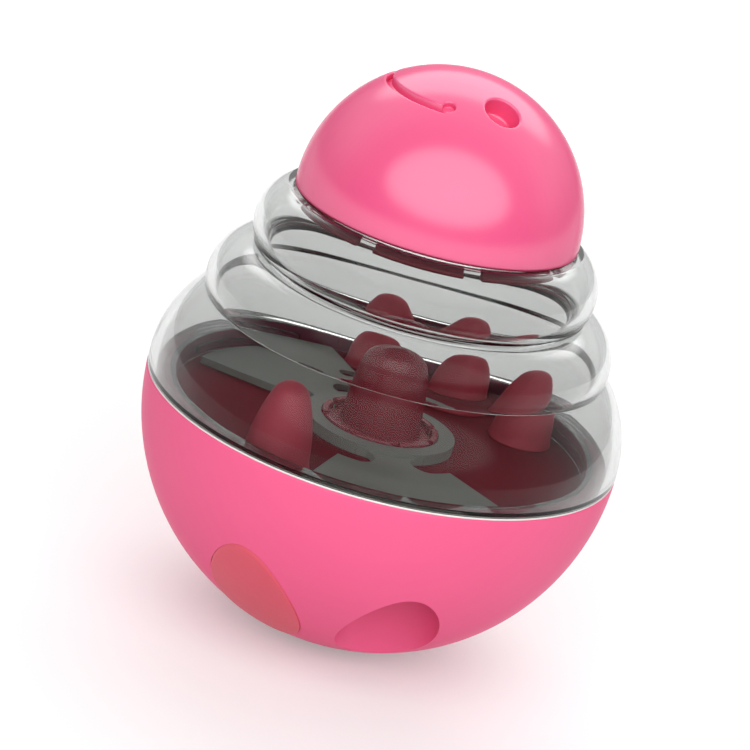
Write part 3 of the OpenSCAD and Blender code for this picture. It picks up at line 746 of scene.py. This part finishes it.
def seenWhite(tree, first="Is Glossy Ray", second="Is Transmission Ray"):
    # camera rays and these two kinds see the white surroundings; light scattered inside the body does not
    path = addNode(tree, "ShaderNodeLightPath")
    shiny = addNode(tree, "ShaderNodeMath", links={0: path.outputs[first], 1: path.outputs[second]},
                    operation="MAXIMUM")
    direct = addNode(tree, "ShaderNodeMath", {1: 0.5}, {0: path.outputs["Diffuse Depth"]},
                     operation="LESS_THAN")
    seen = addNode(tree, "ShaderNodeMath", links={0: shiny.outputs[0], 1: direct.outputs[0]},
                   operation="MULTIPLY")
    return addNode(tree, "ShaderNodeMath", links={0: seen.outputs[0], 1: path.outputs["Is Camera Ray"]},
                   operation="MAXIMUM").outputs[0]


def makeSoftbox(name, azimuth, height, far, size, power):
    data = bpy.data.lights.new(name, "AREA")
    data.shape = "RECTANGLE"
    data.size, data.size_y = size
    data.energy = power
    data.use_nodes = True
    tree = data.node_tree
    tree.nodes.clear()
    across = addNode(tree, "ShaderNodeNewGeometry").outputs["Parametric"]
    centred = addNode(tree, "ShaderNodeVectorMath", {1: (0.5, 0.5, 0)}, {0: across}, operation="DISTANCE")
    edge, core = studio["softEdge"]
    fade = addNode(tree, "ShaderNodeMapRange", {"From Min": edge, "From Max": core},
                   {"Value": centred.outputs["Value"]}, interpolation_type="SMOOTHSTEP")
    glow = addNode(tree, "ShaderNodeEmission", links={"Strength": fade.outputs["Result"]})
    addNode(tree, "ShaderNodeOutputLight", links={"Surface": glow.outputs["Emission"]})
    lamp = bpy.data.objects.new(name, data)
    bpy.context.scene.collection.objects.link(lamp)
    a, h = math.radians(shot["azimuth"] + azimuth), math.radians(height)
    away = Vector((math.sin(a) * math.cos(h), -math.cos(a) * math.cos(h), math.sin(h)))
    lamp.location = Vector((0, 0, rimZ * mm)) + away * far
    lamp.rotation_euler = away.to_track_quat("Z", "Y").to_euler()


def makeStudio():
    scene = bpy.context.scene
    scene.view_settings.view_transform = "Standard"
    world = bpy.data.worlds.new("studio")
    scene.world = world
    world.use_nodes = True
    tree = world.node_tree
    tree.nodes.clear()
    facing = addNode(tree, "ShaderNodeTexCoord").outputs["Generated"]
    towards = addNode(tree, "ShaderNodeSeparateXYZ", links={0: facing})
    sky = addNode(tree, "ShaderNodeMapRange", {"From Max": studio["bright"], "To Min": studio["horizon"]},
                  {"Value": towards.outputs["Z"]}, interpolation_type="SMOOTHSTEP")
    ahead = addNode(tree, "ShaderNodeVectorMath", {1: studio["front"]}, {0: facing}, operation="DOT_PRODUCT")
    room = addNode(tree, "ShaderNodeMapRange", {"From Min": studio["frontFade"][0],
                                                "From Max": studio["frontFade"][1], "To Min": 1.0,
                                                "To Max": studio["frontLevel"]},
                   {"Value": ahead.outputs["Value"]}, interpolation_type="SMOOTHSTEP")
    dim = addNode(tree, "ShaderNodeMath", links={0: sky.outputs[0], 1: room.outputs[0]},
                  operation="MULTIPLY")
    level = addNode(tree, "ShaderNodeMapRange", {"To Min": studio["soft"]}, {"Value": seenWhite(tree)})
    lit = addNode(tree, "ShaderNodeMath", links={0: dim.outputs[0], 1: level.outputs[0]},
                  operation="MULTIPLY")
    around = addNode(tree, "ShaderNodeBackground", {"Color": (1, 1, 1, 1)}, {"Strength": lit.outputs[0]})
    white = addNode(tree, "ShaderNodeBackground", {"Color": (1, 1, 1, 1), "Strength": 1.0})
    plain = seenWhite(tree, "Is Transmission Ray")  # through the clear body it is plain white
    mix = addNode(tree, "ShaderNodeMixShader", links={0: plain, 1: around.outputs[0], 2: white.outputs[0]})
    addNode(tree, "ShaderNodeOutputWorld", links={"Surface": mix.outputs[0]})
    bpy.ops.object.select_all(action="DESELECT")
    bpy.ops.mesh.primitive_plane_add(size=studio["floorSize"], location=(0, 0, 0))
    floor = bpy.context.object
    floor.name = "floor"
    material, tree, shader, spot = startMaterial("floor_white", Roughness=0.9)
    shader.inputs["Base Color"].default_value = linear(studio["floorColour"])
    away = addNode(tree, "ShaderNodeVectorMath", links={0: spot}, operation="LENGTH")
    (near, far), (dark, light) = studio["floorFade"], studio["floorLift"]
    glow = addNode(tree, "ShaderNodeMapRange", {"From Min": near, "From Max": far, "To Min": dark,
                                                "To Max": light}, {"Value": away.outputs["Value"]})
    lift = addNode(tree, "ShaderNodeMath", links={0: seenWhite(tree), 1: glow.outputs["Result"]},
                   operation="MULTIPLY")
    tree.links.new(lift.outputs[0], shader.inputs["Emission Strength"])
    shader.inputs["Emission Color"].default_value = (1, 1, 1, 1)
    floor.data.materials.append(material)
    for softbox in studio["softboxes"]:
        makeSoftbox(*softbox)


makeStudio()
print("studio ready")
